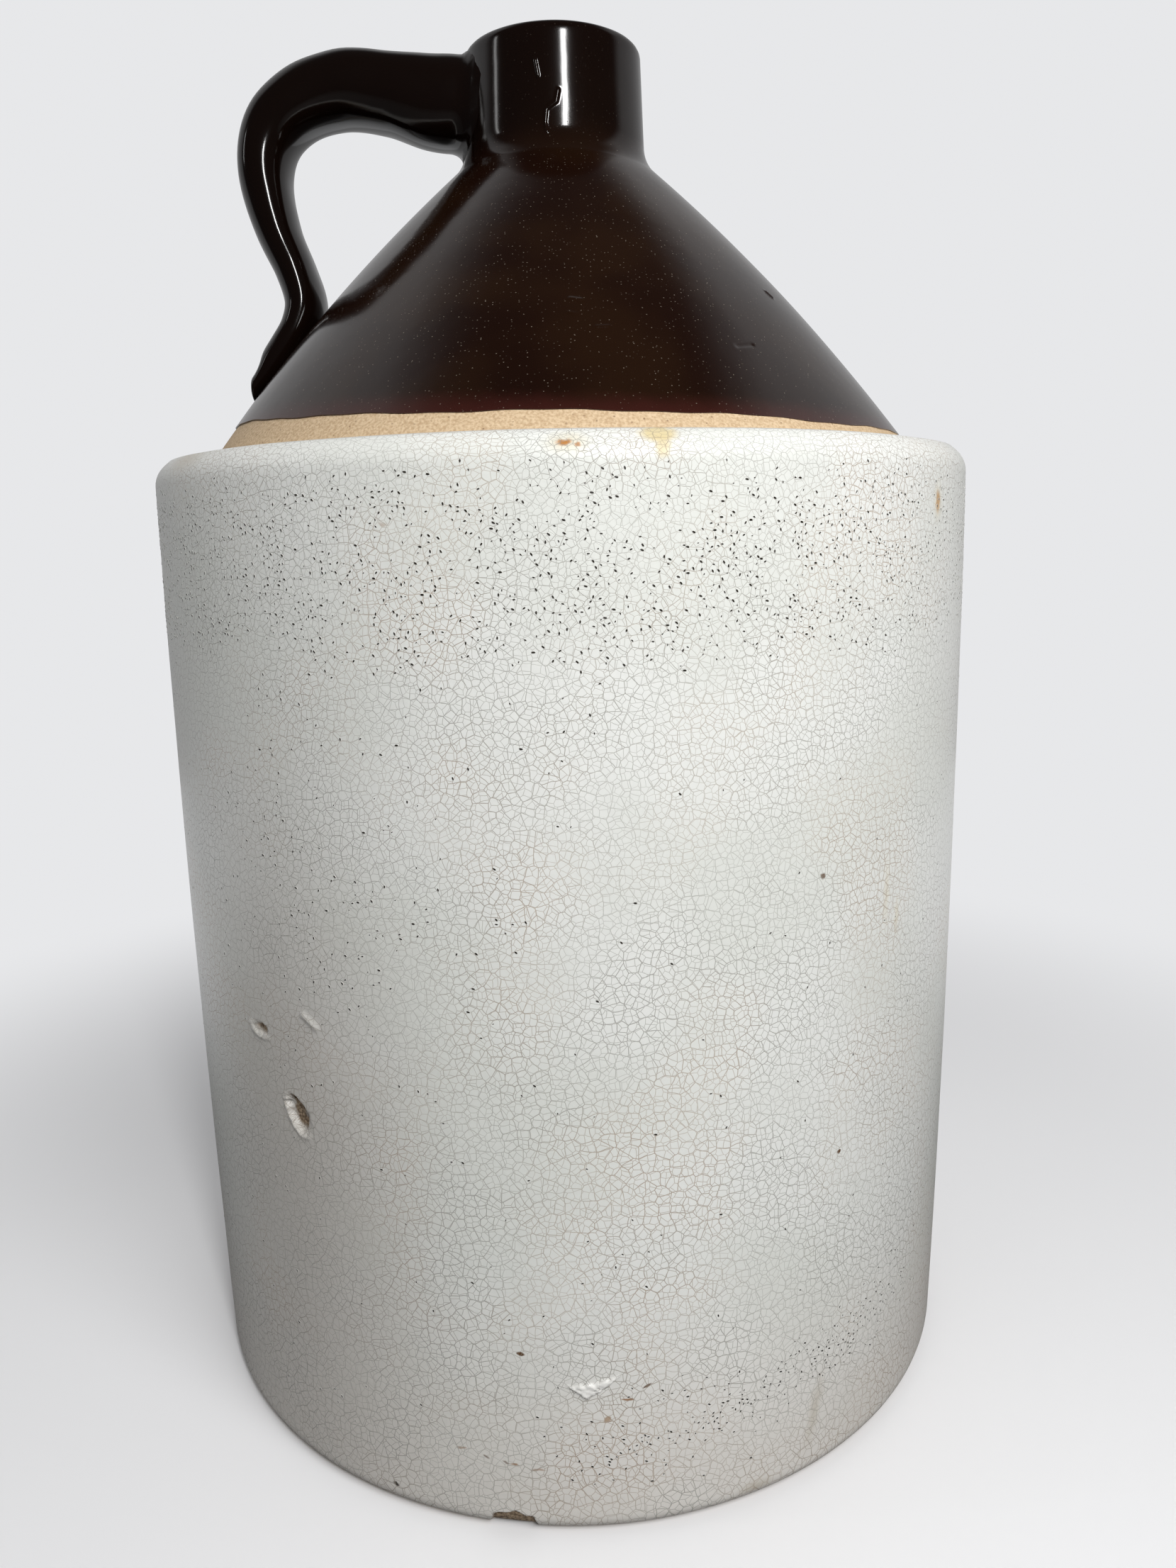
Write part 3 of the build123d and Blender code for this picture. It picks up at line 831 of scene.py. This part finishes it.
# %% Slide its lower edge to the dip line
points = points_of(slip_skin)
swing = np.arctan2(points[:, 0], -points[:, 1])
waver = 0.35 * np.sin(5 * swing + 0.6) + 0.25 * np.sin(13 * swing + 2) + 0.12 * np.sin(37 * swing)
slide = points[:, 0] * dip_tilt[0] + points[:, 1] * dip_tilt[1] + waver * MM
slide_reach = 0.04
fade = soft_step(points[:, 2], dip_height + slide_reach, dip_height)
chosen = np.hypot(points[:, 0], points[:, 1]) > neck_root_radius + neck_root_rounding
foot_end = np.array(side_ways(np.array([shoulder_radius, ledge_height]),
                              np.array([neck_root_radius, neck_root_height]), shoulder_swell)[0])
rise = slide * fade * chosen
lean = foot_end[0] / foot_end[1]
outward = points[:, :2] / np.hypot(points[:, 0], points[:, 1])[:, None]
points[:, 2] += rise
points[:, :2] += outward * (rise * lean)[:, None]
slip_skin.data.vertices.foreach_set("co", points.ravel())
slip_skin.data.update()
deep = slip_skin.data.attributes.new("thick", "FLOAT", "POINT")
thick_from, thick_to = 0.418, 0.442
deep.data.foreach_set("value", 0.85 * soft_step(points[:, 2], thick_from, thick_to))
lowest, highest = (dip_height + slide.min()) / MM, (dip_height + slide.max()) / MM
print(f"slip: dip line from {lowest:.1f} to {highest:.1f} mm")


# %% [markdown]
# The slip has its own marks: a fold beside the neck's highlight, and a few grains on the shoulder that
# the slip flowed over. They are pressed in the same way as those on the body.


# %% Marks in the slip
def run_of(path, lift, width):
    """A raised line along a path of millimetre points."""
    def shape(x, y):
        nearest = np.full(x.shape, 99.0)
        for (ax, ay), (bx, by) in zip(path, path[1:]):
            length = (bx - ax) ** 2 + (by - ay) ** 2
            share = np.clip(((x - ax) * (bx - ax) + (y - ay) * (by - ay)) / length, 0, 1)
            nearest = np.minimum(nearest, np.hypot(x - ax - share * (bx - ax), y - ay - share * (by - ay)))
        return lift * np.exp(-(nearest / width) ** 2), None, None
    return shape


def neck_outside_at(up):
    """The slip's outside radius at a height."""
    outside_line = slip_line[:np.argmax(slip_line[:, 1])]
    return np.interp(up, outside_line[:, 1], outside_line[:, 0])


fold = [(1.6, 6.4), (0.9, 3.0), (-2.4, 0.8), (-2.9, -3.2), (-2.4, -6.0)]
slip_marks = [
    (0.0, 439.0, 9, run_of(fold, 0.35, 0.6)), (-10.0, 452.0, 5, run_of([(-0.3, 2.6), (0.6, -2.2)], 0.4, 0.6)),
    (3.1, 370.1, 5, run_of([(-1.6, 0.2), (1.6, -0.3)], 0.5, 0.6)),
    (7.0, 361.3, 5, run_of([(-1.8, 0.0), (2.0, 0.2)], 0.4, 0.5)),
    (2.2, 365.5, 4, run_of([(-1.0, 0.4), (1.2, -0.2)], 0.35, 0.5)),
    (31.8, 356.5, 6, run_of([(-3.0, 0.4), (3.2, 1.2)], -0.3, 0.6)),
    (52.2, 378.0, 4, run_of([(-0.5, 0.8), (0.6, -0.8)], 0.6, 0.6)),
]
spots = [(on_wall(azimuth, up * MM, neck_outside_at(up * MM)), reach * MM) for azimuth, up, reach, _ in slip_marks]
refine(slip_skin, spots, 3)
for (azimuth, _, _, shape), (place, reach) in zip(slip_marks, spots):
    press(slip_skin, place, azimuth, reach, shape)
belongs(slip_skin, "brown_slip", "shoulder_glaze")
print("slip:", len(slip_marks), "marks,", len(slip_skin.data.polygons), "faces")

# %% [markdown]
# ## Lining
# The same slip was poured inside and out again. It can only be seen through the mouth.

# %% Turn the lining
lining_clay_line = half_section([
    (0, floor_height, 0, 0), (cavity_foot - floor_cove, floor_height, 0, 0),
    (cavity_foot, floor_height + floor_cove, 0, wall_swell), (cavity_top, ceiling_height - haunch_depth, 0, 0),
    (throat_radius, ceiling_height, 0, 0), (throat_radius, ledge_height, 0, shoulder_swell),
    (spigot_radius, neck_underside, 0, 0), (mouth_radius + mouth_flare, neck_underside, 0, 0),
    (mouth_radius, neck_underside + mouth_flare, 0, 0), (mouth_radius, lining_top, 0, 0),
], 10 * MM)
lining_inside = grown(lining_clay_line, -brown_coat)
lining_inside[0, 0] = 0
slip_lining = turn("slip_lining", np.vstack([lining_clay_line, lining_inside[::-1]]), 128, brown_slip)
belongs(slip_lining, "brown_slip", "lining_glaze")

# %% [markdown]
# ## Handle
# The strap was pulled from a lump of wet clay, stuck to the neck, bent over and pressed down on the
# shoulder. Its line and its thickness are given at a few stations, and a smooth curve runs through them.
# Each ring is an oval across that line. Near the neck the ring opens into a soft fillet, wide underneath,
# where the potter smoothed the joint with a thumb. A little noise along the strap leaves its soft dents.

# %% Stations of the strap
strap_stations = np.array([
    # reach, height, half thickness, half width
    (21.5, 450.6, 13.0, 14.5), (32.0, 451.6, 14.6, 15.2), (43.0, 452.5, 14.4, 15.0), (57.0, 455.4, 12.6, 14.4),
    (73.5, 456.7, 11.7, 14.0), (88.5, 452.2, 10.8, 14.0), (98.6, 442.8, 9.9, 14.0), (101.9, 428.9, 8.7, 14.0),
    (98.6, 411.5, 7.6, 14.0), (93.3, 398.0, 7.0, 14.3), (90.7, 387.5, 6.8, 15.0), (92.6, 379.3, 6.6, 15.6),
    (97.0, 372.2, 6.5, 16.2), (103.0, 364.3, 6.4, 16.5), (108.6, 357.2, 6.3, 16.5),
]) * MM


def smooth_through(stations, steps):
    """A Catmull-Rom curve through the stations, with so many steps in each span."""
    padded = np.vstack([2 * stations[0] - stations[1], stations, 2 * stations[-1] - stations[-2]])
    rows = []
    for before, start, end, after in zip(padded, padded[1:], padded[2:], padded[3:]):
        for t in np.arange(steps) / steps:
            rows.append(0.5 * (2 * start + (end - before) * t + (2 * before - 5 * start + 4 * end - after) * t**2
                               + (3 * start - before - 3 * end + after) * t**3))
    return np.vstack(rows + [stations[-1]])


rows = smooth_through(strap_stations, 9)
ways = np.gradient(rows[:, :2], axis=0)
ways /= np.linalg.norm(ways, axis=1)[:, None]
upright = soft_step(np.arange(len(rows)), len(rows) - 18, len(rows) - 1)
ways = ways * (1 - upright)[:, None] + np.array([1.0, 0.0]) * upright[:, None]
ways /= np.linalg.norm(ways, axis=1)[:, None]
print(f"strap: {len(rows)} rings over {len(strap_stations)} stations")

# %% Rings of the strap
strap_sides = 48
swings = np.arange(strap_sides) * 2 * math.pi / strap_sides
squareness = 2.35
across = np.sign(np.cos(swings)) * np.abs(np.cos(swings)) ** (2 / squareness)
over = np.sign(np.sin(swings)) * np.abs(np.sin(swings)) ** (2 / squareness)
fillet_side, fillet_top, fillet_under, fillet_tail = 5 * MM, 1.6 * MM, 6.5 * MM, 2.2 * MM
top_share, under_share = np.clip(over, 0, 1) ** 2, np.clip(-over, 0, 1) ** 2
fillets = fillet_side + (fillet_top - fillet_side) * top_share + (fillet_under - fillet_side) * under_share
thumb_spacing, thumb_depth = 13 * MM, 0.35 * MM
dents_from, dents_full, neck_end = 36 * MM, 48 * MM, 0.06
rings = []
for (reach, up, half_thick, half_wide), (run, climb) in zip(rows, ways):
    # the oval's second way is across the strap's line, on the outside of its bend
    outer = np.array([-climb, run])
    reaches = reach + over * half_thick * outer[0]
    ups = up + over * half_thick * outer[1]
    sides_y = across * half_wide
    radial = np.hypot(reaches, sides_y)
    clear = radial - neck_outside_at(ups)
    by_neck = reach < neck_end
    fillet = fillets if by_neck else np.full(strap_sides, fillet_tail)
    inside = np.clip(fillet - clear, 0, fillet)
    spread = fillet - np.sqrt(np.maximum(fillet**2 - inside**2, 0))
    if by_neck:
        sides_y = sides_y + spread * across
        ups = ups + spread * over
        wanted = neck_outside_at(ups) + clear
        reaches = np.sqrt(np.maximum(wanted**2 - sides_y**2, (5 * MM) ** 2))
    else:
        sides_y = sides_y + spread * across * np.abs(across)
    ring_points = np.column_stack([-reaches, sides_y, ups])
    outward = ring_points - ring_points.mean(axis=0)
    outward /= np.linalg.norm(outward, axis=1)[:, None]
    dents = np.array([noise_field.noise(Vector(p) / thumb_spacing) for p in ring_points])
    rings.append(ring_points + outward * (dents * thumb_depth * soft_step(reach, dents_from, dents_full))[:, None])

# %% Close the strap's ends and skin it
for shrink, onward in ((0.94, 0.5), (0.8, 0.95), (0.55, 1.25)):
    middle = rings[len(rows) - 1].mean(axis=0)
    rings.append(middle + (rings[len(rows) - 1] - middle) * shrink + np.array([-onward * MM, 0, 0]))
strap_points = np.vstack(rings + [rings[0].mean(axis=0), rings[-1].mean(axis=0)])
strap_faces = []
for ring_number in range(len(rings) - 1):
    for k in range(strap_sides):
        here, there = ring_number * strap_sides, (ring_number + 1) * strap_sides
        strap_faces.append((here + k, here + (k + 1) % strap_sides, there + (k + 1) % strap_sides, there + k))
first_cap, last_cap = len(rings) * strap_sides, len(rings) * strap_sides + 1
strap_faces += [(first_cap, (k + 1) % strap_sides, k) for k in range(strap_sides)]
last_ring = (len(rings) - 1) * strap_sides
strap_faces += [(last_cap, last_ring + k, last_ring + (k + 1) % strap_sides) for k in range(strap_sides)]
strap_mesh = bpy.data.meshes.new("strap_handle")
strap_mesh.from_pydata(strap_points.tolist(), [], strap_faces)
work = bmesh.new()
work.from_mesh(strap_mesh)
bmesh.ops.recalc_face_normals(work, faces=work.faces)
work.to_mesh(strap_mesh)
work.free()
deep = strap_mesh.attributes.new("thick", "FLOAT", "POINT")
deep.data.foreach_set("value", np.ones(len(strap_points)))
strap_mesh.shade_smooth()
strap_mesh.materials.append(brown_slip)
strap_handle = bpy.data.objects.new("strap_handle", strap_mesh)
bpy.context.scene.collection.objects.link(strap_handle)
belongs(strap_handle, "brown_slip", "handle")
print("strap:", len(strap_mesh.polygons), "faces")

# %% [markdown]
# ## Floor, light and camera
# The jug stands on a pale floor in soft light. A broad lamp above and to the right does most of the
# work, and is left out of the glaze's mirror. A tall narrow lamp in front draws the bright line down the
# neck, and a weak one at the left a faint second line. The sky is pale at the back and to the left, and dim
# in front and overhead, so that the dark glaze has something to mirror. Far from the jug the floor fades
# into the backdrop's white, and near it keeps the shadow.

# %% Floor
backdrop_white = (0.80, 0.805, 0.82)
floor_mesh = bpy.data.meshes.new("pale_floor")
floor_reach, floor_sides = 1.2, 64
floor_swings = [2 * math.pi * k / floor_sides for k in range(floor_sides)]
floor_ring = [(floor_reach * math.cos(swing), floor_reach * math.sin(swing), 0) for swing in floor_swings]
floor_mesh.from_pydata(floor_ring, [], [tuple(range(floor_sides))])
floor_paint, tree, shader, place = new_finish("pale_floor_paper", 0.9)
path = add(tree, "ShaderNodeLightPath").outputs
paper = blend(tree, path["Is Glossy Ray"], (0.45, 0.45, 0.455), (0.12, 0.12, 0.12))
tree.links.new(blend(tree, path["Is Camera Ray"], paper, (0.92, 0.92, 0.93)), shader.inputs["Base Color"])
from_jug = add(tree, "ShaderNodeVectorMath", {0: place}, operation="LENGTH").outputs["Value"]
at_back = ramp(tree, add(tree, "ShaderNodeSeparateXYZ", {0: place}).outputs["Y"], -0.1, 0.2)
mirrored = sums(tree, "MULTIPLY", sums(tree, "MAXIMUM", path["Is Glossy Ray"], path["Is Transmission Ray"]), at_back)
seen = sums(tree, "MAXIMUM", path["Is Camera Ray"], mirrored)
faded = sums(tree, "MULTIPLY", ramp(tree, from_jug, 0.20, 0.60), seen)
paper_white = add(tree, "ShaderNodeEmission", {"Color": (*backdrop_white, 1), "Strength": 1.0})
both = add(tree, "ShaderNodeMixShader", {0: faded, 1: shader.outputs[0], 2: paper_white.outputs[0]})
tree.links.new(both.outputs[0], tree.nodes["Material Output"].inputs["Surface"])
floor_mesh.materials.append(floor_paint)
floor = bpy.data.objects.new("pale_floor", floor_mesh)
bpy.context.scene.collection.objects.link(floor)
print("floor:", floor_reach * 2, "m across")

# %% Sky
sky = bpy.data.worlds.new("studio_sky")
bpy.context.scene.world = sky
sky.use_nodes = True
tree = sky.node_tree
background = tree.nodes["Background"]
way = add(tree, "ShaderNodeSeparateXYZ", {0: add(tree, "ShaderNodeTexCoord").outputs["Generated"]})
wall_top = ramp(tree, way.outputs["X"], -0.15, 0.30, 0.89, 0.82)
below_top = ramp(tree, sums(tree, "SUBTRACT", wall_top, way.outputs["Z"]), -0.08, 0.10)
walls = sums(tree, "MULTIPLY", below_top, ramp(tree, way.outputs["Y"], -0.10, 0.15))
lit_way = sums(tree, "SUBTRACT", way.outputs["Y"], sums(tree, "MULTIPLY", way.outputs["X"], 0.28))
lit_walls = sums(tree, "MULTIPLY", below_top, ramp(tree, lit_way, 0.05, 0.50))
path = add(tree, "ShaderNodeLightPath").outputs
mirrored = sums(tree, "MAXIMUM", path["Is Glossy Ray"], path["Is Transmission Ray"])
light = blend(tree, lit_walls, (0.06, 0.06, 0.062), (0.80, 0.80, 0.81))
shown = blend(tree, mirrored, light, blend(tree, walls, (0.035, 0.035, 0.037), (0.46, 0.46, 0.465)))
tree.links.new(blend(tree, path["Is Camera Ray"], shown, backdrop_white), background.inputs["Color"])
background.inputs["Strength"].default_value = 1.0


# %% Lamps
def lamp(name, place, aim, size, tall, watts, mirrored=True):
    """A rectangular soft lamp that looks at a point, and may be left out of the glaze's mirror."""
    light = bpy.data.lights.new(name, "AREA")
    light.shape = "RECTANGLE"
    light.size, light.size_y = size, tall
    light.energy = watts
    holder = bpy.data.objects.new(name, light)
    holder.location = place
    holder.rotation_euler = (Vector(aim) - Vector(place)).to_track_quat("-Z", "Y").to_euler()
    holder.visible_glossy = mirrored
    bpy.context.scene.collection.objects.link(holder)
    print(f"{name}: {watts} W")


lamp("key_lamp", (0.26, -0.62, 0.76), (0.0, 0.0, 0.25), 0.55, 0.40, 5.5, mirrored=False)
lamp("front_strip", (0.235, -0.915, 0.79), (0.0, 0.0, 0.45), 0.10, 0.36, 4.2)
lamp("left_strip", (-0.916, -0.211, 0.79), (0.0, 0.0, 0.45), 0.06, 0.3, 0.25)

# %% [markdown]
# The camera stands where the photograph was taken: close, a little above the body's middle and looking
# slightly down, so the body narrows towards the foot. Its place was found by fitting the jug's outline.

# %% Camera
image_tall = 2212
focal_pixels = 1608.19
camera_place = Vector((0, -0.44045, 0.30327))
pan, pitch, roll = 0.0158, -0.2131, -0.0215
ahead = Vector((math.sin(pan) * math.cos(pitch), math.cos(pan) * math.cos(pitch), math.sin(pitch)))
right = Vector((math.cos(pan), -math.sin(pan), 0))
up = right.cross(ahead)
level, tall_way = right * math.cos(roll) + up * math.sin(roll), up * math.cos(roll) - right * math.sin(roll)
lens = bpy.data.cameras.new("photo_camera")
lens.sensor_width = 36
lens.lens = focal_pixels * lens.sensor_width / image_tall
lens.clip_start = 0.01
camera = bpy.data.objects.new("photo_camera", lens)
turned_axes = Matrix((level, tall_way, -ahead)).transposed()
camera.matrix_world = Matrix.Translation(camera_place) @ turned_axes.to_4x4()
bpy.context.scene.collection.objects.link(camera)
bpy.context.scene.camera = camera
bpy.context.scene.view_settings.view_transform = "Standard"
print(f"camera: {lens.lens:.2f} mm lens")
